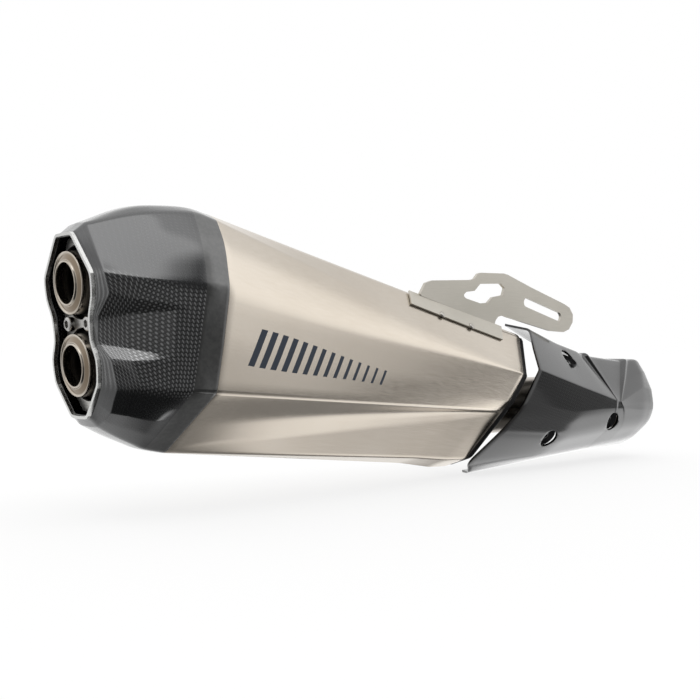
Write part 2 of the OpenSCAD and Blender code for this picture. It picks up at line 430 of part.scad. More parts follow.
outer_sleeve();
front_cap();
rear_bulkhead();
end_cap();
outlet_rim_trim();
outlet_plate();
outlet_plate_screws();
tip_carrier_plate();
upper_outlet_tip();
lower_outlet_tip();
upper_damper_tube();
lower_damper_tube();
outlet_seat_plate();
upper_outlet_pipe();
lower_outlet_pipe();
rear_baffle();
front_baffle();
perforated_core();
packing();
inlet_pipe();
inlet_sleeve();
inlet_clamp_band();
inlet_clamp_bolt();
inlet_clamp_nut();
mounting_bracket();
bracket_rivets();
heat_shield();
shield_screws();
shield_cup_washers();
shield_standoffs();
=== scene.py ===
import json
import math

import bpy
import bmesh
import numpy as np
from mathutils import Vector, Matrix

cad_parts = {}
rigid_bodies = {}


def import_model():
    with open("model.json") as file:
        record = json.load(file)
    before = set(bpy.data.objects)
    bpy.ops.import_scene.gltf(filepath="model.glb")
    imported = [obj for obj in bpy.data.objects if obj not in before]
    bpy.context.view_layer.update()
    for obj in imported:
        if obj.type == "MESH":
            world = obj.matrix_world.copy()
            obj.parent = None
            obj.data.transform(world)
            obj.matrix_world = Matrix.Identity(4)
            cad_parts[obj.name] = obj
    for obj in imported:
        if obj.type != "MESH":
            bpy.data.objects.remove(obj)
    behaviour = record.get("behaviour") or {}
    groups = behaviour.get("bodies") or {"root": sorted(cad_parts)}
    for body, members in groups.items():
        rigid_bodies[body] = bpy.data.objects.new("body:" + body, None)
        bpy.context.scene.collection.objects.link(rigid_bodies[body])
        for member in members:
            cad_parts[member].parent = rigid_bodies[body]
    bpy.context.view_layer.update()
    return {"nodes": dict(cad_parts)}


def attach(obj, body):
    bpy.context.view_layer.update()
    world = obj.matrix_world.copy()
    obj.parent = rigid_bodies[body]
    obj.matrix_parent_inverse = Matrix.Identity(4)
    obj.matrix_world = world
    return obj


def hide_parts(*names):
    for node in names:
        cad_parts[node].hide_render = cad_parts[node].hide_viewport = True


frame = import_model()
nodes = frame["nodes"]
scene = bpy.context.scene
scene.view_settings.view_transform = "Standard"
scene.view_settings.look = "None"

MM = 0.001
PITCH = math.radians(9.5)
RAKE = math.radians(15.0)
OVERALL, MOUTH_Z = 684.0, 72.5
CAP_T, SLEEVE_T, SHIELD_T = 2.8, 1.4, 2.2


# ------------------------------------------------------------------ geometry kit
def can(p):
    p = np.asarray(p, float)
    c, s = math.cos(PITCH), math.sin(PITCH)
    return np.stack([p[..., 0] * c + p[..., 2] * s - OVERALL, p[..., 1],
                     -p[..., 0] * s + p[..., 2] * c + MOUTH_Z], -1)


def o2c(p):
    p = np.asarray(p, float)
    c, s = math.cos(RAKE), math.sin(RAKE)
    return np.stack([p[..., 0] * c - p[..., 2] * s, p[..., 1], p[..., 0] * s + p[..., 2] * c], -1)


def lerp(a, b, t):
    return np.asarray(a, float) + (np.asarray(b, float) - np.asarray(a, float)) * t


def unit(v):
    return v / max(np.linalg.norm(v), 1e-9)


def mirrored(h):
    h = [np.asarray(p, float) for p in h]
    return np.array(h + [p * [1, -1, 1] for p in h[-2:0:-1]])


def mirlist(r):
    return list(r) + list(r[-2:0:-1])


def arc(a, b, c, r, n):
    """n + 1 points that round the corner at b."""
    d1, d2 = min(r, 0.42 * np.linalg.norm(a - b)), min(r, 0.42 * np.linalg.norm(c - b))
    p, q = b + unit(a - b) * d1, b + unit(c - b) * d2
    t = np.linspace(0, 1, n + 1)[:, None]
    return (1 - t) ** 2 * p + 2 * t * (1 - t) * b + t ** 2 * q


def outline(P, R, n=5, closed=True, flats=None):
    """Points along a key polygon with rounded corners; flats[i] splits the straight run after corner i."""
    P = np.asarray(P, float)
    N = len(P)
    parts = []
    for i in range(N):
        if R[i] <= 0 or (not closed and i in (0, N - 1)):
            parts.append(P[i:i + 1])
        else:
            parts.append(arc(P[i - 1], P[i], P[(i + 1) % N], R[i], n))
    out = []
    for i in range(N):
        out.append(parts[i])
        if i == N - 1 and not closed:
            break
        k = flats[i] if flats else 1
        if k > 1:
            a, b = parts[i][-1], parts[(i + 1) % N][0]
            out.append(np.array([lerp(a, b, j / k) for j in range(1, k)]))
    return np.concatenate(out)


def inset_keys(P, t, closed=True):
    """The key polygon moved inwards by t in its own y-z plane."""
    P = np.asarray(P, float)
    N, out = len(P), []
    for i in range(N):
        a = P[(i - 1) % N] if closed else P[max(i - 1, 0)]
        c = P[(i + 1) % N] if closed else P[min(i + 1, N - 1)]
        b = P[i]
        u, v = unit((b - a)[1:]) if np.linalg.norm((b - a)[1:]) > 1e-6 else None, \
            unit((c - b)[1:]) if np.linalg.norm((c - b)[1:]) > 1e-6 else None
        if u is None:
            u = v
        if v is None:
            v = u
        s = unit(u + v)
        k = 1 / max(0.75, float(s @ u))
        out.append([b[0], b[1] + s[1] * t * k, b[2] - s[0] * t * k])
    return np.array(out)


def hermite(rows, n):
    """Smooth rows through key rows; n[i] steps after row i."""
    rows = np.asarray(rows, float)
    m = len(rows)
    L = np.array([np.linalg.norm(rows[i + 1] - rows[i], axis=-1).mean() for i in range(m - 1)])
    T = np.zeros_like(rows)
    for i in range(m):
        if i == 0:
            T[i] = (rows[1] - rows[0]) / L[0]
        elif i == m - 1:
            T[i] = (rows[-1] - rows[-2]) / L[-1]
        else:
            a, b = (rows[i] - rows[i - 1]) / L[i - 1], (rows[i + 1] - rows[i]) / L[i]
            T[i] = (a * L[i] + b * L[i - 1]) / (L[i] + L[i - 1])
    out = []
    for i in range(m - 1):
        for j in range(n[i]):
            t = j / n[i]
            h = (2 * t ** 3 - 3 * t ** 2 + 1, t ** 3 - 2 * t ** 2 + t, -2 * t ** 3 + 3 * t ** 2, t ** 3 - t ** 2)
            out.append(h[0] * rows[i] + h[1] * L[i] * T[i] + h[2] * rows[i + 1] + h[3] * L[i] * T[i + 1])
    out.append(rows[-1])
    return np.array(out)


def round_rows(rows, R, n=3, closed=False):
    """Rounds the turn at row i with radius R[i] (a dict), column by column."""
    rows = [np.asarray(r, float) for r in rows]
    out, M = [], len(rows)
    for i, r in enumerate(rows):
        if i in R and (closed or 0 < i < M - 1):
            a, c = rows[(i - 1) % M], rows[(i + 1) % M]
            cols = np.array([arc(a[k], r[k], c[k], R[i], n) for k in range(len(r))])
            out.extend(cols[:, j] for j in range(n + 1))
        else:
            out.append(r)
    return np.array(out)


def new_object(name, verts, faces, uv=None, sharp=33.0, smooth=True):
    me = bpy.data.meshes.new(name)
    me.from_pydata([tuple(v) for v in np.asarray(verts) * MM], [], faces)
    me.validate()
    if uv is not None:
        layer = me.uv_layers.new(name="UVMap")
        uv = np.asarray(uv, float)
        idx = np.zeros(len(me.loops), int)
        me.loops.foreach_get("vertex_index", idx)
        layer.data.foreach_set("uv", uv[idx].astype(np.float32).ravel())
    if smooth:
        me.polygons.foreach_set("use_smooth", [True] * len(me.polygons))
        me.set_sharp_from_angle(angle=math.radians(sharp))
    me.update()
    ob = bpy.data.objects.new(name, me)
    scene.collection.objects.link(ob)
    return ob


def grid_faces(m, n, wrap_rows, wrap_cols, flip=False, off=0):
    f = []
    for i in range(m if wrap_rows else m - 1):
        for j in range(n if wrap_cols else n - 1):
            a, b = i * n + j, i * n + (j + 1) % n
            c, d = ((i + 1) % m) * n + (j + 1) % n, ((i + 1) % m) * n + j
            q = (a + off, b + off, c + off, d + off)
            f.append(q if not flip else q[::-1])
    return f


def fix_normals(ob):
    bm = bmesh.new()
    bm.from_mesh(ob.data)
    bmesh.ops.recalc_face_normals(bm, faces=bm.faces)
    bm.to_mesh(ob.data)
    bm.free()
    ob.data.update()


def arclen(ring, ref):
    d = np.linalg.norm(np.roll(ring, -1, 0) - ring, axis=1)
    s = np.concatenate([[0], np.cumsum(d)[:-1]])
    return s - s[ref]


def tube(name, outer, inner, edge, ref, to=lambda p: p, sharp=33.0, extra=None):
    """A closed wall between outer and inner rows of rings, with its two rims rounded by edge."""
    rows = list(outer) + list(inner)[::-1]
    m, k = len(outer), len(rows)
    uvrow = []
    u = 0
    for i, r in enumerate(rows):
        if i:
            u += float(np.linalg.norm(rows[i] - rows[i - 1], axis=-1).mean())
        uvrow.append((u, arclen(r, ref)))
    grid = np.array([np.concatenate([r, np.full((len(r), 1), uvrow[i][0]), uvrow[i][1][:, None]], 1)
                     for i, r in enumerate(rows)])
    # round the four rim rows in space, and carry u and v along
    out = []
    rims = {0, m - 1, m, k - 1}
    for i in range(k):
        if i in rims:
            a, b, c = grid[(i - 1) % k], grid[i], grid[(i + 1) % k]
            n = 3
            cols = []
            for j in range(b.shape[0]):
                da, dc = np.linalg.norm((a[j] - b[j])[:3]), np.linalg.norm((c[j] - b[j])[:3])
                ta, tc = min(edge, 0.45 * da) / max(da, 1e-6), min(edge, 0.45 * dc) / max(dc, 1e-6)
                p, q = b[j].copy(), b[j].copy()
                p[:3] += (a[j] - b[j])[:3] * ta
                q[:3] += (c[j] - b[j])[:3] * tc
                t = np.linspace(0, 1, n + 1)[:, None]
                cols.append((1 - t) ** 2 * p + 2 * t * (1 - t) * b[j] + t ** 2 * q)
            cols = np.array(cols)
            out.extend(cols[:, j] for j in range(n + 1))
        else:
            out.append(grid[i])
    g = np.array(out)
    M, N = g.shape[:2]
    flat = g.reshape(-1, 5)
    ob = new_object(name, to(flat[:, :3]), grid_faces(M, N, True, True), flat[:, 3:5], sharp)
    fix_normals(ob)
    return ob


def lathe(name, prof, to, seg=160, sharp=35.0, closed=True):
    """Spins a profile of [radius, height] about z; to places it."""
    prof = np.asarray(prof, float)
    n, m = len(prof), seg
    a = np.arange(m) / m * 2 * math.pi
    pts = np.array([[r * math.cos(t), r * math.sin(t), z] for t in a for r, z in prof])
    s = np.concatenate([[0], np.cumsum(np.linalg.norm(np.diff(prof, axis=0), axis=1))])
    uv = np.array([[t * max(prof[:, 0]), q] for t in a for q in s])
    ob = new_object(name, to(pts), grid_faces(m, n, True, closed), uv, sharp)
    bm = bmesh.new()
    bm.from_mesh(ob.data)
    bmesh.ops.remove_doubles(bm, verts=bm.verts, dist=1e-7)
    bmesh.ops.recalc_face_normals(bm, faces=bm.faces)
    bm.to_mesh(ob.data)
    bm.free()
    ob.data.update()
    return ob


def rounded(P, R, n=4):
    """A closed [r, z] profile with rounded corners."""
    return outline(P, R, n, True)


# ------------------------------------------------------------------ sleeve
T0, T1 = np.array([18, 99.]), np.array([22, 74.])
D0, D1 = np.array([33, 92.]), np.array([45.7, 35.5])
W0, W1 = np.array([62, 40.5]), np.array([48, 32.2])
L0, L1 = np.array([64, -34.]), np.array([41, -6.])
B0, B1 = np.array([8, -80.]), np.array([21, -54.])
SK = [[[0, 100.2], [0, 76], [0, 0]], [T0, T1, [0, 0]], [D0, D1, [0, 0]],
      [lerp(D0, W0, 0.43) + np.array([0.87, 0.49]) * 3.2, lerp(D1, W1, 0.5), [0, 0]],
      [W0, W1, [0, 0]], [[64, 0], [45, 4.5], [0, 0]], [L0, L1, [0.8, 0]],
      [lerp(L0, B0, 0.45), [40.6, -6.9], np.array([-0.64, 0.77]) * 2.6],
      [lerp(L0, B0, 0.88), [40.2, -7.8], [0.5, -1.2]], [B0, B1, [0, 0]], [[0, -80.4], [0, -62], [0, 0]]]
JOINT_X, FRONT_X, FRONT_K = 84.0, 421.5, 0.45


def skey(k, s):
    a, b, w = (np.asarray(v, float) for v in SK[k])
    boss = 0 if k < 9 else (1.0 if k == 9 else 2.6) * max(0, 1 - abs(s - 0.93) / 0.13)
    p = a + (b - a) * s + w * 4 * s * (1 - s) - [0, boss]
    x1 = FRONT_X + FRONT_K * b[1]
    return np.array([JOINT_X + (x1 - JOINT_X) * s, p[0], p[1]])


SR = mirlist([0, 6, 3, 16, 9, 0, 2.4, 7, 3, 3.5, 0])
SFL = [2, 2, 3, 3, 4, 4, 3, 3, 1, 2, 2, 1, 3, 3, 4, 4, 3, 3, 2, 2][:20]


def sring(s, t=0.0):
    P = mirrored([skey(k, s) for k in range(len(SK))])
    R = SR
    if t:
        P, R = inset_keys(P, t), [max(r - t, 0.3) if r else 0 for r in SR]
    return outline(P, R, 5, True, SFL)


S_STEPS = [i / 56 for i in range(57)]
sleeve = tube("titanium_sleeve", [sring(s) for s in S_STEPS], [sring(s, SLEEVE_T) for s in S_STEPS], 0.45,
              0, can, 30)
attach(sleeve, "silencer")
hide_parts("outer_sleeve")

# ------------------------------------------------------------------ end cap
RIM = [[0, 62.9], [8, 62.8], [12, 62.7], [24, 48.15], [36, 33.6], [35.5, 17.6], [28.5, 5.5],
       [27.5, -11.6], [34.5, -23.9], [33, -40.7], [27.5, -47.2], [22, -53.5], [16.5, -59.8], [11.8, -65.2], [0, -65.6]]
CAPK = [
    [list(o2c([2.6, p[0], p[1]])) for p in RIM],
    [[-7.5, 0, 70], [-7.2, 9, 69.6], [-7, 13.5, 69.3], [-4.8, 28.4, 51.4], [-2.6, 43.3, 33.2], [3, 44, 20.5],
     [3.6, 31, 5], [6, 31, -11], [13, 42, -23.2], [20, 42, -40.6], [21, 37.6, -48.5], [22.7, 33, -56.8],
     [24, 23.5, -62.5], [25, 13.5, -67.2], [25, 0, -67.8]],
    [[20, 0, 87.5], [20, 11.5, 86.5], [20, 19, 81.2], [21, 36, 58.3], [22, 51, 34], [20, 50.5, 19.5],
     [20, 39, 10.5], [23, 41, -12.3], [25, 48.5, -21.5], [33, 50.5, -38.8], [34, 44.5, -48], [35, 38.5, -57.5],
     [37, 26.5, -65], [39, 12.5, -72], [39, 0, -72.6]],
    [[46, 0, 96.6], [46, 15, 95.5], [46, 25, 89.8], [46, 43.5, 64.3], [46, 57.3, 36], [48, 57.2, 20.8],
     [49, 56.4, 18.2], [52, 56.8, -12.8], [53, 57.2, -15.6], [54, 57.8, -36.8], [54, 49, -47.3], [54, 39.6, -58.3],
     [55, 26.5, -67.8], [56, 10.5, -76.6], [56, 0, -77.2]],
    [[66, 0, 100.4], [66, 17, 99.3], [66, 29, 94], [66, 48, 68.6], [66, 61.2, 38.8], [66, 61.8, 24],
     [66, 62.1, 12], [66, 62.5, -2], [66, 62.7, -18], [66, 62.9, -35.4], [66, 49.8, -46.6], [66, 37.4, -57.2],
     [66, 23.4, -68.8], [66, 9, -79], [66, 0, -79.4]],
    [[84, 0, 100.2], [84, 18, 99], [84, 33, 92], [84, 49.1, 71.9], [84, 62, 40.5], [84, 62.7, 27],
     [84, 63.3, 14], [84, 64, 0], [84, 64, -18], [84, 64, -34], [84, 50, -45.5], [84, 36.6, -56.5],
     [84, 22.5, -68.1], [84, 8, -80], [84, 0, -80.4]]]
# corner radii: along the rim, along the bevel edge, then the body of the cap
CAP_R = [mirlist([0, 0, 4, 0, 4, 6, 5, 5, 5, 6, 0, 0, 0, 3, 0]),
         mirlist([0, 6, 4, 20, 2.2, 3, 3, 3, 3, 2.2, 3, 1.5, 3, 3, 0]),
         mirlist([0, 6, 3, 20, 2.2, 1.4, 1.4, 1.4, 1.4, 2.2, 3, 1.5, 3, 3, 0]),
         mirlist([0, 6, 3, 20, 2.2, 1.0, 1.0, 1.0, 1.0, 2.2, 3, 1.5, 3, 3, 0]),
         mirlist([0, 6, 3, 20, 2.6, 3, 3, 3, 3, 2.4, 3, 2, 3, 3, 0]),
         mirlist([0, 6, 3, 20, 3.0, 3, 3, 3, 3, 2.4, 3, 3, 3, 3, 0])]
CAP_FL = [2, 1, 4, 4, 3, 3, 3, 2, 3, 2, 2, 2, 2, 2, 2, 2, 2, 2, 2, 3, 2, 3, 3, 3, 4, 4, 1, 2]
LINEAR = (5, 6, 7, 8)


def cap_rows(t):
    n = [5, 10, 10, 8, 8]
    keys = np.array([mirrored(h) for h in CAPK])
    if t:
        mouth = o2c(inset_keys(mirrored([[2.6, p[0], p[1]] for p in RIM]), t))
        keys = np.array([mouth] + [inset_keys(k, t) for k in keys[1:]])
    N = keys.shape[1]
    smooth = np.concatenate([keys[0][None] + (keys[1] - keys[0])[None] * (np.arange(n[0]) / n[0])[:, None, None],
                             hermite(keys[1:], n[1:])])
    R = np.array([[r if r == 0 or not t else max(r - t * 0.4, 0.4) for r in row] for row in CAP_R], float)
    rr, q = [], 0
    for i in range(5):
        for j in range(n[i]):
            f = j / n[i]
            lin = keys[i] + (keys[i + 1] - keys[i]) * f
            row = smooth[q].copy()
            for k in LINEAR:
                row[k] = lin[k]
                row[N - k] = lin[N - k]
            rr.append((row, R[i] + (R[i + 1] - R[i]) * f))
            q += 1
    rr.append((keys[5], R[5]))
    # zero radii become one point each on every row, so each row keeps the same number of points
    zero = (R == 0).all(0)
    rings = []
    for row, r in rr:
        r = np.where(zero, 0, np.maximum(r, 0.35))
        rings.append(outline(row, list(r), 5, True, CAP_FL))
    rings = round_rows(rings, {5: 1.6}, 4)
    return rings


W_REF = 0
cap = tube("carbon_end_cap", cap_rows(0), cap_rows(CAP_T), 0.5, 0, can, 33)
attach(cap, "silencer")
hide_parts("end_cap")

# ------------------------------------------------------------------ heat shield
UP_N = np.array([0, -0.84, 0.54])
HR = [[-217, 6, 79.5], [-219, -26, 74], [-229.5, -39, 55.5], [-237.5, -52, 36], [-264, -50, -1], [-283, -42, -21],
      [-305, -21, -50], [-290, -8, -60.5], [-284, 4, -61]]
HM = [[-166, 10, 61.5], [-166, -20, 60], [-164, -34.5, 38.5], [-162, -49, 17], [-176, -49.5, -12], [-190, -43.5, -31],
      [-203, -22, -51], [-197, -8, -55], [-192, 5, -55.3]]
HA = [[-112, 12, 49.5], [-111, -16, 48.4], [-106, -32, 25.5], [-100, -47.5, 2], [-102, -48, -8], [-108, -44, -25],
      [-117, -23, -47], [-120, -8, -51], [-120, 5, -51.2]]
HB = [[-36, 14, 43], [-34, -16, 42.4], [-63, -32, 22.5], [-93, -47.5, 0], [-86, -47.5, -8], [-84, -43.6, -25],
      [-88, -25, -44.5], [-92, -9, -50.5], [-92, 5, -50.6]]
HF = [[-16, 14, 43], [-15, -15.8, 42.6], [-22, -29, 29], [-38, -40.5, 13], [-42, -45.3, -7], [-46, -43, -23],
      [-54, -27, -42], [-56, -10, -49.5], [-55, 5, -49.8]]
HE = [[-10, 14, 42.5], [-10.4, -15.5, 42], [-12.3, -26, 28.5], [-17, -37.5, 10], [-21.5, -43, -8.4], [-28, -41, -23],
      [-37.8, -27, -40.5], [-31, -10, -49], [-30, 5, -49.3]]
SHR = [0, 5, 0, 2.0, 9, 9, 9, 5, 0]
RIB = 3.2


def srow(R, dx, h):
    out = []
    for i, p in enumerate(R):
        w = {1: 1, 2: 0.75, 3: 0.12}.get(i, 0)
        g = {0: 1, 1: 1, 2: 0.7}.get(i, 0.25)
        out.append(np.array(p, float) + [dx * g, 0, 0] + UP_N * h * w)
    return np.array(out)


BACK_X = 6.0
SH = [np.array(HR, float), lerp(HR, HM, 0.33), lerp(HR, HM, 0.67), np.array(HM, float), lerp(HM, HA, 0.33), lerp(HM, HA, 0.67),
      srow(HA, -6, 0), srow(HA, 0, RIB), srow(HA, 6, -RIB), srow(HB, -6, -RIB), srow(HB, 0, RIB * 0.5), srow(HB, 6, -1),
      np.array(HF, float), np.array(HE, float)]
SH_FL = [4, 4, 4, 2, 3, 4, 3, 3]


def shield_rows(t):
    keys = [k * [1, 1, 1] for k in SH]
    if t:
        keys = [inset_keys(k, t, False) for k in keys]
    R = SHR if not t else [0 if r == 0 else max(r - t * 0.4, 0.6) for r in SHR]
    rows = [outline(k, R, 5, False, SH_FL) for k in keys]
    rows = round_rows(rows, {6: 2.0, 7: 2.2, 8: 1.6, 9: 1.6, 10: 2.2, 11: 2.2, 12: 5.0, 3: 12}, 4)
    # more rows between the widely spaced ones
    out = []
    for i in range(len(rows) - 1):
        d = np.linalg.norm(rows[i + 1] - rows[i], axis=-1).mean()
        k = max(1, int(round(d / 6)))
        out.extend(rows[i] + (rows[i + 1] - rows[i]) * j / k for j in range(k))
    out.append(rows[-1])
    return np.array(out)


def open_shell(name, outer, inner, edge, to, sharp=33.0, bevel=0.6):
    """A wall over an open grid, closed round its rim; the rim is not rounded here."""
    m, n = outer.shape[:2]
    q = m * n
    u = np.concatenate([[0], np.cumsum([np.linalg.norm(outer[i + 1] - outer[i], axis=-1).mean() for i in range(m - 1)])])
    uv = []
    for i in range(m):
        d = np.concatenate([[0], np.cumsum(np.linalg.norm(np.diff(outer[i], axis=0), axis=1))])
        mid = n // 3
        uv.append(np.stack([np.full(n, u[i]), d - d[mid]], 1))
    uv = np.array(uv).reshape(-1, 2)
    faces = grid_faces(m, n, False, False) + grid_faces(m, n, False, False, True, q)
    for j in range(n - 1):
        faces.append((j + 1, j, q + j, q + j + 1))
        e = (m - 1) * n
        faces.append((e + j, e + j + 1, q + e + j + 1, q + e + j))
    for i in range(m - 1):
        a, b = i * n, (i + 1) * n
        faces.append((a, b, q + b, q + a))
        a, b = a + n - 1, b + n - 1
        faces.append((b, a, q + a, q + b))
    ob = new_object(name, to(np.concatenate([outer.reshape(-1, 3), inner.reshape(-1, 3)])), faces,
                    np.concatenate([uv, uv]), sharp)
    fix_normals(ob)
    return ob


def apply_modifiers(ob, sharp=33.0):
    dg = bpy.context.evaluated_depsgraph_get()
    me = bpy.data.meshes.new_from_object(ob.evaluated_get(dg))
    old = ob.data
    ob.modifiers.clear()
    ob.data = me
    me.name = ob.name
    if old.users == 0:
        bpy.data.meshes.remove(old)
    me.polygons.foreach_set("use_smooth", [True] * len(me.polygons))
    me.set_sharp_from_angle(angle=math.radians(sharp))


def bevel_sharp(ob, width, angle=48, seg=3):
    mod = ob.modifiers.new("edge", "BEVEL")
    mod.width = width * MM
    mod.segments = seg
    mod.limit_method = "ANGLE"
    mod.angle_limit = math.radians(angle)
    mod.use_clamp_overlap = True
    mod.harden_normals = False


def shift(p):
    p = np.asarray(p, float).copy()
    p[..., 0] += BACK_X
    return p


shield = open_shell("carbon_heat_shield", shield_rows(0), shield_rows(SHIELD_T), 0.5, shift)

# the three fixings: x, the direction from the pipe axis, the distance to the shield's face
FIX = [[-208, [-42, -32.5], 51], [-105, [-43.6, -19], 48.4], [-160, [-31, 46], 54.5]]


def fix_frame(f):
    a = math.atan2(-f[1][0], f[1][1])
    c, s = math.cos(a), math.sin(a)

    def go(p):
        p = np.asarray(p, float)
        return np.stack([p[..., 0] + f[0] + BACK_X, p[..., 1] * c - p[..., 2] * s, p[..., 1] * s + p[..., 2] * c], -1)
    return go


def boolean_cut(ob, cutter):
    mod = ob.modifiers.new("cut", "BOOLEAN")
    mod.operation = "DIFFERENCE"
    mod.solver = "EXACT"
    mod.object = cutter
    apply_modifiers(ob)
    me = cutter.data
    bpy.data.objects.remove(cutter)
    bpy.data.meshes.remove(me)


for i, f in enumerate(FIX):
    go = fix_frame(f)
    cut = lathe("cutter", [[0, f[2] - 12], [10, f[2] - 12], [10, f[2] + 16], [0, f[2] + 16]], go, 96)
    boolean_cut(shield, cut)
bevel_sharp(shield, 0.5, 50, 3)
apply_modifiers(shield)
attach(shield, "silencer")
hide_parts("heat_shield")


# ------------------------------------------------------------------ outlet frame pieces
def outlet(up=0.0):
    """Lathe frame: z of the profile runs inwards along the outlet's axis."""
    def go(p):
        p = np.asarray(p, float)
        q = np.stack([p[..., 2], p[..., 1], up * 28.5 - p[..., 0]], -1)
        return can(o2c(q))
    return go


BORE, TIP = 14.2, 22.0
TIP_PROF = rounded(
    [[BORE, 21.5], [BORE, -0.75], [BORE + 0.05, -1.5], [BORE + 0.55, -1.9], [BORE + 1.15, -1.8], [BORE + 1.5, -1.3],
     [BORE + 1.75, -0.55], [BORE + 3.6, 0.15], [TIP - 1.75, 1.1], [TIP - 1.35, 0.45], [TIP - 0.9, 0.15], [TIP - 0.4, 0.25],
     [TIP - 0.08, 0.7], [TIP, 1.4], [TIP, 21.5]],
    [0.2, 0.5, 0.4, 0.4, 0.4, 0.4, 0.6, 2.0, 0.5, 0.4, 0.4, 0.4, 0.4, 0.5, 0.2], 4)
for name, up, node in (("upper_tip", 1, "upper_outlet_tip"), ("lower_tip", -1, "lower_outlet_tip")):
    tip = lathe("steel_" + name, TIP_PROF, outlet(up), 192, 40)
    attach(tip, "noise_damper")
    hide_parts(node)


def hex_pocket_screw(name, to, r, h, shank_r, shank_l, af, depth, crown):
    """A screw with a rounded head, a hexagon pocket and a plain shank; z = 0 at the head's top, running down."""
    bm = bmesh.new()
    n = 96
    ang = np.arange(n) / n * 2 * math.pi

    def ring_at(rad, z):
        return [bm.verts.new((rad * math.cos(a), rad * math.sin(a), z)) for a in ang]

    def hexring(z, k=1.0):
        out = []
        for a in ang:
            b = (a + math.pi / 6) % (math.pi / 3) - math.pi / 6
            d = af / 2 / math.cos(b) * k
            out.append(bm.verts.new((d * math.cos(a), d * math.sin(a), z)))
        return out
    loops = [hexring(depth, 0.98), hexring(depth - 0.05), hexring(0.35), hexring(0.12, 1.03)]
    rim0 = af / 2 * 1.22
    loops.append(ring_at(rim0, 0.0))
    for t in np.linspace(0.15, 1, 10):
        a = t * math.pi / 2
        loops.append(ring_at(rim0 + (r - rim0) * math.sin(a) ** 0.9, crown * (1 - math.cos(a))))
    loops.append(ring_at(r, crown + 0.15))
    loops.append(ring_at(r, h - 0.25))
    loops.append(ring_at(r - 0.25, h))
    loops.append(ring_at(shank_r + 0.2, h))
    loops.append(ring_at(shank_r, h + 0.2))
    loops.append(ring_at(shank_r, h + shank_l - 0.4))
    loops.append(ring_at(shank_r - 0.4, h + shank_l))
    for a, b in zip(loops[:-1], loops[1:]):
        for j in range(n):
            bm.faces.new((a[j], a[(j + 1) % n], b[(j + 1) % n], b[j]))
    bm.faces.new(loops[0][::-1])
    bm.faces.new(loops[-1])
    bmesh.ops.recalc_face_normals(bm, faces=bm.faces)
    me = bpy.data.meshes.new(name)
    bm.to_mesh(me)
    bm.free()
    co = np.array([v.co for v in me.vertices])
    co = to(co) * MM
    me.vertices.foreach_set("co", co.astype(np.float32).ravel())
    me.update()
    bm = bmesh.new()
    bm.from_mesh(me)
    bmesh.ops.recalc_face_normals(bm, faces=bm.faces)
    bm.to_mesh(me)
    bm.free()
    me.polygons.foreach_set("use_smooth", [True] * len(me.polygons))
    me.set_sharp_from_angle(angle=math.radians(38))
    ob = bpy.data.objects.new(name, me)
    scene.collection.objects.link(ob)
    return ob


def join(name, obs):
    bm = bmesh.new()
    for o in obs:
        bm.from_mesh(o.data)
    me = bpy.data.meshes.new(name)
    bm.to_mesh(me)
    bm.free()
    for o in obs:
        d = o.data
        bpy.data.objects.remove(o)
        bpy.data.meshes.remove(d)
    ob = bpy.data.objects.new(name, me)
    scene.collection.objects.link(ob)
    return ob


def plate_screw_to(y):
    def go(p):
        p = np.asarray(p, float)
        q = np.stack([p[..., 2] + 8.5 - 4.8, p[..., 0] + y, -p[..., 1]], -1)
        return can(o2c(q))
    return go


scr = join("plate_button_screws", [hex_pocket_screw("s", plate_screw_to(y), 5.5, 4.8, 2.45, 18.3, 5.0, 3.2, 1.9)
                                   for y in (-14.6, 14.6)])
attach(scr, "noise_damper")
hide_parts("outlet_plate_screws")

# ------------------------------------------------------------------ shield fasteners


def fix_to(f, dz):
    go = fix_frame(f)

    def to(p):
        p = np.asarray(p, float)
        return go(np.stack([p[..., 0], -p[..., 1], dz - p[..., 2]], -1))
    return to


def fix_up(f, dz=0.0):
    go = fix_frame(f)
    return lambda p: go(np.asarray(p, float) + [0, 0, dz])


CUP = rounded([[3.3, -7.0], [7.2, -7.0], [9.98, -3.0], [9.98, -0.25], [9.5, 0.05], [8.95, -0.25], [8.5, -2.4], [6.4, -5.4], [3.3, -5.4]],
              [0.2, 0.8, 0.8, 0.3, 0.3, 0.3, 1.0, 0.8, 0.2], 4)
cups = join("shield_cups", [lathe("c", CUP, fix_up(f, f[2]), 128, 40) for f in FIX])
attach(cups, "silencer")
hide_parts("shield_cup_washers")
ss = join("shield_button_screws", [hex_pocket_screw("s", fix_to(f, f[2] - 2.3), 5.0, 3.1, 2.95, 9.5, 4.0, 2.0, 1.7) for f in FIX])
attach(ss, "silencer")
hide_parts("shield_screws")


# ------------------------------------------------------------------ materials
def new_mat(name):
    m = bpy.data.materials.new(name)
    m.use_nodes = True
    nt = m.node_tree
    for n in list(nt.nodes):
        if n.type not in ("BSDF_PRINCIPLED", "OUTPUT_MATERIAL"):
            nt.nodes.remove(n)
    b = next(n for n in nt.nodes if n.type == "BSDF_PRINCIPLED")
    return m, nt, b


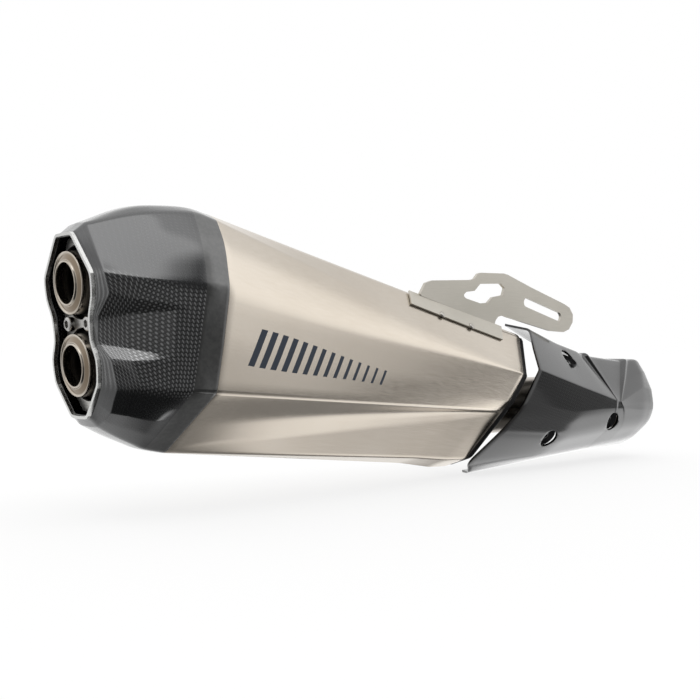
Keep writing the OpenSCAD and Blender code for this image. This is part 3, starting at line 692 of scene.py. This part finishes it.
class G:
    """Small helper for building node graphs."""

    def __init__(self, nt):
        self.nt = nt

    def node(self, kind, **props):
        n = self.nt.nodes.new(kind)
        for k, v in props.items():
            setattr(n, k, v)
        return n

    def put(self, sock, v):
        if v is None:
            return
        if hasattr(v, "is_linked") or hasattr(v, "links"):
            self.nt.links.new(v, sock)
        else:
            sock.default_value = v

    def math(self, op, a, b=None, c=None, clamp=False):
        n = self.node("ShaderNodeMath", operation=op, use_clamp=clamp)
        self.put(n.inputs[0], a)
        self.put(n.inputs[1], b)
        self.put(n.inputs[2], c)
        return n.outputs[0]

    def step(self, v, lo, hi, a=0.0, b=1.0):
        n = self.node("ShaderNodeMapRange", interpolation_type="SMOOTHSTEP")
        self.put(n.inputs["Value"], v)
        n.inputs["From Min"].default_value = lo
        n.inputs["From Max"].default_value = hi
        n.inputs["To Min"].default_value = a
        n.inputs["To Max"].default_value = b
        return n.outputs["Result"]

    def mix(self, f, a, b):
        n = self.node("ShaderNodeMix", data_type="RGBA")
        self.put(n.inputs[0], f)
        self.put(n.inputs[6], a)
        self.put(n.inputs[7], b)
        return n.outputs[2]

    def mixf(self, f, a, b):
        n = self.node("ShaderNodeMix", data_type="FLOAT")
        self.put(n.inputs[0], f)
        self.put(n.inputs[2], a)
        self.put(n.inputs[3], b)
        return n.outputs[0]

    def noise(self, vec, scale, detail=3.0, rough=0.5):
        n = self.node("ShaderNodeTexNoise")
        self.put(n.inputs["Vector"], vec)
        n.inputs["Scale"].default_value = scale
        n.inputs["Detail"].default_value = detail
        n.inputs["Roughness"].default_value = rough
        return n.outputs["Fac"]

    def mapping(self, vec, loc=(0, 0, 0), rot=(0, 0, 0), scale=(1, 1, 1)):
        n = self.node("ShaderNodeMapping")
        self.put(n.inputs["Vector"], vec)
        n.inputs["Location"].default_value = loc
        n.inputs["Rotation"].default_value = rot
        n.inputs["Scale"].default_value = scale
        return n.outputs[0]

    def coord(self, which="Object"):
        return self.node("ShaderNodeTexCoord").outputs[which]

    def uv(self):
        return self.node("ShaderNodeUVMap", uv_map="UVMap").outputs[0]

    def xyz(self, vec):
        n = self.node("ShaderNodeSeparateXYZ")
        self.put(n.inputs[0], vec)
        return n.outputs[0], n.outputs[1], n.outputs[2]

    def vec(self, x, y, z=0.0):
        n = self.node("ShaderNodeCombineXYZ")
        self.put(n.inputs[0], x)
        self.put(n.inputs[1], y)
        self.put(n.inputs[2], z)
        return n.outputs[0]

    def bump(self, h, strength, dist, normal=None):
        n = self.node("ShaderNodeBump")
        n.inputs["Strength"].default_value = strength
        n.inputs["Distance"].default_value = dist
        self.put(n.inputs["Height"], h)
        self.put(n.inputs["Normal"], normal)
        return n.outputs[0]


def can_coords(g):
    """x and z in the can frame, and y, all in millimetres, from object coordinates."""
    x, y, z = g.xyz(g.coord("Object"))
    c, s = math.cos(PITCH), math.sin(PITCH)
    dx = g.math("ADD", x, OVERALL * MM)
    dz = g.math("SUBTRACT", z, MOUTH_Z * MM)
    cx = g.math("SUBTRACT", g.math("MULTIPLY", dx, c / MM), g.math("MULTIPLY", dz, s / MM))
    cz = g.math("ADD", g.math("MULTIPLY", dx, s / MM), g.math("MULTIPLY", dz, c / MM))
    return cx, g.math("MULTIPLY", y, 1 / MM), cz


def metal(name, base, dark, rough=(0.28, 0.4), grain=(3, 180, 180), bump=0.05, scale=1.0, aniso=0.0):
    m, nt, b = new_mat(name)
    g = G(nt)
    o = g.coord("Object")
    fine = g.noise(g.mapping(o, scale=tuple(v * 2.2 * scale for v in grain)), 4.0, 4, 0.6)
    big = g.noise(o, 14.0 * scale, 3, 0.5)
    f = g.mixf(0.45, big, fine)
    g.put(b.inputs["Base Color"], g.mix(g.step(f, 0.3, 0.7), (*dark, 1), (*base, 1)))
    b.inputs["Metallic"].default_value = 1.0
    g.put(b.inputs["Roughness"], g.step(fine, 0.25, 0.75, rough[0], rough[1]))
    g.put(b.inputs["Normal"], g.bump(fine, bump, 0.0004))
    b.inputs["Anisotropic"].default_value = aniso
    return m


# titanium sleeve, with a plain row of slanted bars as its marking
m_ti, nt, b = new_mat("titanium_satin")
g = G(nt)
o = g.coord("Object")
cx, cy, cz = can_coords(g)
rot = g.mapping(o, rot=(0, -PITCH, 0))
fine = g.noise(g.mapping(rot, scale=(9, 420, 420)), 4.0, 4, 0.65)
grit = g.noise(o, 900.0, 2, 0.5)
cloud = g.noise(o, 9.0, 3, 0.5)
f = g.mixf(0.5, cloud, fine)
base = g.mix(g.step(f, 0.32, 0.68), (0.555, 0.495, 0.42, 1), (0.625, 0.568, 0.495, 1))
sl = g.math("ADD", cx, g.math("MULTIPLY", g.math("SUBTRACT", cz, 3.0), -0.32))
t = g.math("DIVIDE", g.math("SUBTRACT", sl, 112.0), 10.4)
frac = g.math("FRACT", t)
duty = g.step(t, 0.0, 14.0, 0.56, 0.26)
bar = g.math("LESS_THAN", frac, duty)
inx = g.math("MULTIPLY", g.math("GREATER_THAN", t, 0.0), g.math("LESS_THAN", t, 14.0))
mid = g.step(t, 0.0, 14.0, 3.0, 1.0)
half = g.step(t, 0.0, 14.0, 14.0, 6.0)
inz = g.math("LESS_THAN", g.math("ABSOLUTE", g.math("SUBTRACT", cz, mid)), half)
side = g.math("LESS_THAN", cy, -30.0)
mark = g.math("MULTIPLY", g.math("MULTIPLY", bar, inx), g.math("MULTIPLY", inz, side))
g.put(b.inputs["Base Color"], g.mix(mark, base, (0.075, 0.088, 0.11, 1)))
b.inputs["Metallic"].default_value = 1.0
rough = g.step(fine, 0.25, 0.75, 0.17, 0.25)
g.put(b.inputs["Roughness"], g.mixf(mark, rough, 0.55))
h = g.math("ADD", g.math("MULTIPLY", fine, 0.6), g.math("MULTIPLY", grit, 0.4))
g.put(b.inputs["Normal"], g.bump(h, 0.035, 0.0003))
sleeve.data.materials.append(m_ti)


def carbon(name, tow, grey, weave_contrast, collar=False, coat_rough=0.03, glare_facet_grey=0.1, relief=0.35, base_metal=0.88, coat_ior=1.85):
    """Plain-weave carbon laminate under clear coat; the UV map is in millimetres."""
    m, nt, b = new_mat(name)
    g = G(nt)
    u, v, _ = g.xyz(g.uv())
    wob = g.noise(g.coord("Object"), 30.0, 2, 0.5)
    wob = g.math("MULTIPLY", g.math("SUBTRACT", wob, 0.5), 1.6)
    k = 1 / (tow * math.sqrt(2))
    a = g.math("MULTIPLY", g.math("ADD", g.math("ADD", u, v), wob), k)
    c = g.math("MULTIPLY", g.math("SUBTRACT", g.math("SUBTRACT", u, v), wob), k)
    fa, fc = g.math("FRACT", a), g.math("FRACT", c)
    par = g.math("MODULO", g.math("ADD", g.math("FLOOR", a), g.math("FLOOR", c)), 2.0)
    par = g.math("GREATER_THAN", g.math("ABSOLUTE", par), 0.5)
    da, dc = g.math("ABSOLUTE", g.math("SUBTRACT", fa, 0.5)), g.math("ABSOLUTE", g.math("SUBTRACT", fc, 0.5))
    # across is the distance across the top tow, along is the distance to where it dives
    across, along = g.mixf(par, dc, da), g.mixf(par, da, dc)
    crown = g.math("SUBTRACT", 1.0, g.math("MULTIPLY", g.math("MULTIPLY", across, across), 3.4))
    dive = g.math("SUBTRACT", 1.0, g.math("MULTIPLY", g.math("MULTIPLY", along, along), 3.0))
    height = g.math("MULTIPLY", g.math("MAXIMUM", crown, 0.0), g.math("MAXIMUM", dive, 0.0))
    fib = g.noise(g.mapping(g.vec(g.mixf(par, a, c), g.mixf(par, c, a)), scale=(1.2, 26, 1)), 3.0, 2, 0.5)
    # painted sheen and shade: the tows are lighter or darker by their direction, and their crowns are brighter than
    # their dips; the fibres' reflection is put into the base colour here
    shade = g.math("MULTIPLY", g.step(height, 0.05, 0.95, 0.35, 1.0), g.mixf(par, 0.55, 1.0))
    shade = g.math("POWER", g.math("MULTIPLY", shade, g.step(fib, 0.2, 0.8, 0.85, 1.1)), 2.2)
    lo, hi = grey * (1 - weave_contrast), grey * (1 + weave_contrast)
    col = g.mix(shade, (lo, lo * 1.01, lo * 1.03, 1), (hi, hi * 1.01, hi * 1.02, 1))
    if collar:
        # the weave shows on the flanks; on the top and bottom facets it is left out under a plain dark grey, painted
        # glare standing in for the coat's reflection washing the weave out there
        cx, cy, cz = can_coords(g)
        smooth = g.math("MAXIMUM", g.step(cz, 30.0, 38.0), g.step(cz, -34.0, -44.0))
        fine = g.noise(g.coord("Object"), 420.0, 3, 0.6)
        glare_facet_colour = g.mix(g.step(fine, 0.3, 0.7), (glare_facet_grey * 0.93, glare_facet_grey * 0.97, glare_facet_grey * 1.02, 1),
                     (glare_facet_grey * 1.05, glare_facet_grey * 1.1, glare_facet_grey * 1.16, 1))
        col = g.mix(g.math("MULTIPLY", smooth, 0.97), col, glare_facet_colour)
        height = g.mixf(smooth, height, g.math("MULTIPLY", height, 0.1))
        # from x = 66 mm to the joint the weave gives way to a plain dark grey band with fine speckle: painted shading
        # where the surface turns, over the same carbon
        onband = g.step(cx, 65.2, 66.2)
        speck = g.noise(g.coord("Object"), 260.0, 3, 0.6)
        plain = g.mix(g.step(speck, 0.35, 0.65), (0.052, 0.053, 0.052, 1), (0.07, 0.07, 0.068, 1))
        col = g.mix(onband, col, plain)
        height = g.mixf(onband, height, g.math("MULTIPLY", speck, 0.2))
    g.put(b.inputs["Base Color"], col)
    b.inputs["Metallic"].default_value = base_metal
    g.put(b.inputs["Roughness"], g.step(fib, 0.2, 0.8, 0.34, 0.46))
    b.inputs["Specular IOR Level"].default_value = 0.5
    b.inputs["Coat Weight"].default_value = 1.0
    b.inputs["Coat Roughness"].default_value = coat_rough
    b.inputs["Coat IOR"].default_value = coat_ior
    g.put(b.inputs["Normal"], g.bump(height, relief, 0.00025))
    peel = g.noise(g.coord("Object"), 120.0, 2, 0.5)
    g.put(b.inputs["Coat Normal"], g.bump(peel, 0.03, 0.0003))
    return m


m_cap = carbon("carbon_cap", 2.1, 0.19, 0.975, collar=True, glare_facet_grey=0.02)
m_shield = carbon("carbon_shield", 2.1, 0.012, 0.12, coat_rough=0.012, relief=0.05, base_metal=1.0, coat_ior=1.58)
cap.data.materials.append(m_cap)
shield.data.materials.append(m_shield)

# steel tips: bright outside, warm tint, painted shade (near black) further down the bore
m_tip, nt, b = new_mat("steel_tip")
g = G(nt)
o = g.coord("Object")
cx, cy, cz = can_coords(g)
ox = g.math("ADD", g.math("MULTIPLY", cx, math.cos(RAKE)), g.math("MULTIPLY", cz, math.sin(RAKE)))
ring = g.noise(g.mapping(g.vec(ox, 0.0, 0.0), scale=(1.6, 1, 1)), 3.0, 2, 0.5)
cloud = g.noise(o, 60.0, 3, 0.55)
col = g.mix(g.step(cloud, 0.3, 0.7), (0.50, 0.44, 0.37, 1), (0.62, 0.57, 0.50, 1))
# the land between the two beads is darker and warmer
oz = g.math("SUBTRACT", g.math("MULTIPLY", cz, math.cos(RAKE)), g.math("MULTIPLY", cx, math.sin(RAKE)))
dz = g.math("SUBTRACT", g.math("ABSOLUTE", oz), 28.5)
rad = g.math("SQRT", g.math("ADD", g.math("MULTIPLY", cy, cy), g.math("MULTIPLY", dz, dz)))
land = g.math("MULTIPLY", g.step(rad, 15.6, 16.8), g.step(rad, 20.6, 19.6))
col = g.mix(g.math("MULTIPLY", land, 0.85), col, (0.20, 0.15, 0.10, 1))
# painted shade: the bore goes near black from 1.5 mm to 9 mm in, with some cloudy variation
bore_shade = g.math("MULTIPLY", g.step(ox, 1.5, 9.0), g.step(cloud, 0.1, 0.5, 0.75, 1.0))
g.put(b.inputs["Base Color"], g.mix(bore_shade, col, (0.02, 0.017, 0.015, 1)))
b.inputs["Metallic"].default_value = 1.0
g.put(b.inputs["Roughness"], g.mixf(bore_shade, g.step(ring, 0.3, 0.7, 0.16, 0.24), 0.6))
g.put(b.inputs["Normal"], g.bump(g.math("ADD", ring, g.math("MULTIPLY", cloud, 0.5)), 0.04, 0.0003))
for n in ("steel_upper_tip", "steel_lower_tip"):
    bpy.data.objects[n].data.materials.append(m_tip)

m_screw = metal("screw_steel", (0.62, 0.61, 0.59), (0.48, 0.47, 0.46), (0.18, 0.3), (60, 60, 60), 0.03)
m_plate = metal("plate_satin", (0.70, 0.69, 0.66), (0.58, 0.57, 0.55), (0.3, 0.42), (200, 12, 200), 0.04)
m_rim = metal("rim_satin", (0.80, 0.80, 0.78), (0.66, 0.66, 0.65), (0.22, 0.34), (200, 20, 200), 0.03)
m_pipe = metal("pipe_titanium", (0.60, 0.55, 0.49), (0.49, 0.44, 0.38), (0.26, 0.38), (4, 120, 120), 0.04)
m_inner = metal("inner_steel", (0.42, 0.40, 0.37), (0.30, 0.28, 0.26), (0.35, 0.5), (30, 30, 30), 0.05)
# near-black steel for the parts seen behind the outlet plate and down the tips: painted shade, where the gaps and bores
# fall dark
m_shade_black_steel = metal("shade_black_steel", (0.055, 0.048, 0.042), (0.02, 0.018, 0.016), (0.5, 0.68), (30, 30, 30), 0.1)
m_clamp = metal("clamp_steel", (0.66, 0.66, 0.65), (0.54, 0.54, 0.54), (0.24, 0.34), (120, 10, 10), 0.03)
m_bracket = metal("bracket_titanium", (0.60, 0.57, 0.51), (0.50, 0.475, 0.42), (0.3, 0.42), (6, 160, 160), 0.04)
m_rivet = metal("rivet_titanium", (0.52, 0.50, 0.46), (0.42, 0.40, 0.37), (0.28, 0.4), (80, 80, 80), 0.03)
m_sscrew = metal("shield_screw_steel", (0.22, 0.22, 0.22), (0.13, 0.13, 0.13), (0.25, 0.38), (60, 60, 60), 0.03)

m_cup, nt, b = new_mat("cup_black")
g = G(nt)
n1 = g.noise(g.coord("Object"), 700.0, 3, 0.6)
g.put(b.inputs["Base Color"], g.mix(g.step(n1, 0.3, 0.7), (0.009, 0.009, 0.010, 1), (0.018, 0.018, 0.019, 1)))
b.inputs["Specular IOR Level"].default_value = 0.22
g.put(b.inputs["Roughness"], g.step(n1, 0.3, 0.7, 0.42, 0.55))
g.put(b.inputs["Normal"], g.bump(n1, 0.08, 0.0002))
# painted shade: the front cap is made near black to stand in for the shadowed gap between the sleeve's front edge and
# the heat shield
m_gap_shade_black, nt, b = new_mat("front_cap_painted_shade")
g = G(nt)
n1 = g.noise(g.coord("Object"), 260.0, 4, 0.6)
n2 = g.noise(g.coord("Object"), 18.0, 2, 0.5)
g.put(b.inputs["Base Color"], g.mix(g.step(g.mixf(0.5, n1, n2), 0.35, 0.65), (0.010, 0.010, 0.011, 1), (0.024, 0.023, 0.023, 1)))
b.inputs["Specular IOR Level"].default_value = 0.35
g.put(b.inputs["Roughness"], g.step(n1, 0.3, 0.7, 0.42, 0.6))
g.put(b.inputs["Normal"], g.bump(n1, 0.12, 0.0002))
m_rubber, nt, b = new_mat("rubber_black")
g = G(nt)
n1 = g.noise(g.coord("Object"), 500.0, 3, 0.6)
g.put(b.inputs["Base Color"], g.mix(g.step(n1, 0.3, 0.7), (0.02, 0.02, 0.02, 1), (0.04, 0.04, 0.04, 1)))
g.put(b.inputs["Roughness"], g.step(n1, 0.3, 0.7, 0.7, 0.85))
g.put(b.inputs["Normal"], g.bump(n1, 0.15, 0.0003))
m_wool, nt, b = new_mat("packing_wool")
g = G(nt)
n1 = g.noise(g.mapping(g.coord("Object"), scale=(1, 3, 3)), 260.0, 5, 0.7)
g.put(b.inputs["Base Color"], g.mix(g.step(n1, 0.3, 0.7), (0.55, 0.5, 0.38, 1), (0.82, 0.78, 0.66, 1)))
b.inputs["Roughness"].default_value = 0.95
g.put(b.inputs["Normal"], g.bump(n1, 0.6, 0.001))

scr.data.materials.append(m_screw)
cups.data.materials.append(m_cup)
ss.data.materials.append(m_sscrew)
NODE_MATS = {
    "front_cap": m_gap_shade_black, "rear_bulkhead": m_inner, "outlet_rim_trim": m_rim, "outlet_plate": m_plate,
    "tip_carrier_plate": m_shade_black_steel, "upper_damper_tube": m_shade_black_steel, "lower_damper_tube": m_shade_black_steel,
    "outlet_seat_plate": m_shade_black_steel, "upper_outlet_pipe": m_inner, "lower_outlet_pipe": m_inner,
    "rear_baffle": m_inner, "front_baffle": m_inner, "perforated_core": m_inner, "packing": m_wool,
    "inlet_pipe": m_pipe, "inlet_sleeve": m_pipe, "inlet_clamp_band": m_clamp, "inlet_clamp_bolt": m_screw,
    "inlet_clamp_nut": m_screw, "mounting_bracket": m_bracket, "bracket_rivets": m_rivet,
    "shield_standoffs": m_rubber}
for n, m in NODE_MATS.items():
    if n in nodes:
        me = nodes[n].data
        me.materials.clear()
        me.materials.append(m)

# ------------------------------------------------------------------ studio
floor_z = -0.0640
me = bpy.data.meshes.new("studio_floor")
me.from_pydata([(-30, -30, floor_z), (30, -30, floor_z), (30, 30, floor_z), (-30, 30, floor_z)], [], [(0, 1, 2, 3)])
floor = bpy.data.objects.new("studio_floor", me)
scene.collection.objects.link(floor)
m_floor, nt, b = new_mat("floor_pale")
g = G(nt)
n1 = g.noise(g.coord("Object"), 0.4, 2, 0.5)
g.put(b.inputs["Base Color"], g.mix(n1, (0.2, 0.2, 0.2, 1), (0.21, 0.21, 0.21, 1)))
b.inputs["Emission Color"].default_value = (1, 1, 1, 1)
b.inputs["Emission Strength"].default_value = 0.8
b.inputs["Roughness"].default_value = 0.9
b.inputs["Specular IOR Level"].default_value = 0.0
floor.data.materials.append(m_floor)
floor.visible_glossy = False

world = bpy.data.worlds.new("studio")
scene.world = world
world.use_nodes = True
nt = world.node_tree
for n in list(nt.nodes):
    nt.nodes.remove(n)
g = G(nt)
x, y, z = g.xyz(g.coord("Generated"))
az = g.math("ADD", g.math("DIVIDE", g.math("ARCTAN2", y, x), 2 * math.pi), 0.5)
el = g.math("MULTIPLY", g.math("ARCSINE", z), 180 / math.pi)


def band(stops):
    """Brightness round the horizon: (azimuth in degrees, value)."""
    n = g.node("ShaderNodeValToRGB")
    n.color_ramp.interpolation = "EASE"
    e = n.color_ramp.elements
    pts = [((a + 180) / 360, v / 4) for a, v in stops]
    while len(e) > 1:
        e.remove(e[-1])
    e[0].position, e[0].color = pts[0][0], (pts[0][1],) * 3 + (1,)
    for p, v in pts[1:]:
        k = e.new(p)
        k.color = (v, v, v, 1)
    g.put(n.inputs[0], az)
    return g.math("MULTIPLY", n.outputs[0], 4.0)


# overhead softbox, side softbox, dark strip at the horizon, floor bounce and dark flags below
# a big overhead softbox, a side softbox, dark flags at the horizon and under the rear, floor bounce
top = band([(-180, 1.3), (-110, 2.2), (-60, 2.2), (-45, 1.5), (-15, 1.1), (40, 1.1), (180, 1.2)])
high = band([(-180, 0.8), (-125, 0.3), (-105, 0.1), (-66, 0.12), (-54, 0.8), (-44, 1.45), (-25, 1.4), (-8, 1.0), (20, 0.9), (60, 1.1), (180, 0.9)])
mid = band([(-180, 0.6), (-128, 0.4), (-108, 0.12), (-66, 0.2), (-52, 0.75), (-40, 0.9), (-35, 0.12), (-29, 0.12), (-24, 1.7), (0, 1.0), (180, 0.7)])
low = band([(-180, 0.5), (-120, 0.08), (-60, 0.08), (-40, 0.3), (-33, 0.35), (-27, 1.9), (10, 1.6), (60, 1.0), (180, 0.6)])
deep = band([(-180, 0.1), (-120, 0.03), (-60, 0.05), (-38, 0.7), (-12, 1.3), (8, 1.3), (20, 0.25), (45, 0.3), (100, 0.9), (180, 0.2)])
under = band([(-180, 0.05), (-60, 0.03), (-8, 0.05), (30, 0.2), (100, 0.7), (180, 0.1)])
L = g.mixf(g.step(el, 2.0, 8.0), mid, high)
L = g.mixf(g.step(el, 48.0, 62.0), L, top)
L = g.mixf(g.step(el, -5.0, -7.5), L, low)
L = g.mixf(g.step(el, -32.0, -40.0), L, deep)
L = g.mixf(g.step(el, -57.0, -64.0), L, under)
bg = g.node("ShaderNodeBackground")
bg.inputs[0].default_value = (1, 1, 1, 1)
g.put(bg.inputs[1], L)
white = g.node("ShaderNodeBackground")
white.inputs[0].default_value = (1, 1, 1, 1)
white.inputs[1].default_value = 1.0
lp = g.node("ShaderNodeLightPath")
mx = g.node("ShaderNodeMixShader")
g.put(mx.inputs[0], lp.outputs["Is Camera Ray"])
nt.links.new(bg.outputs[0], mx.inputs[1])
nt.links.new(white.outputs[0], mx.inputs[2])
out = g.node("ShaderNodeOutputWorld")
nt.links.new(mx.outputs[0], out.inputs[0])

cam_data = bpy.data.cameras.new("camera")
cam = bpy.data.objects.new("camera", cam_data)
scene.collection.objects.link(cam)
cam_data.lens = 50
cam_data.sensor_width = 36
cam_data.clip_start, cam_data.clip_end = 0.01, 100
cam.location = (-0.985, -0.6265, 0.055)
cam.rotation_euler = Vector((0.6652, 0.7466, 0)).to_track_quat("-Z", "Y").to_euler()
scene.camera = cam
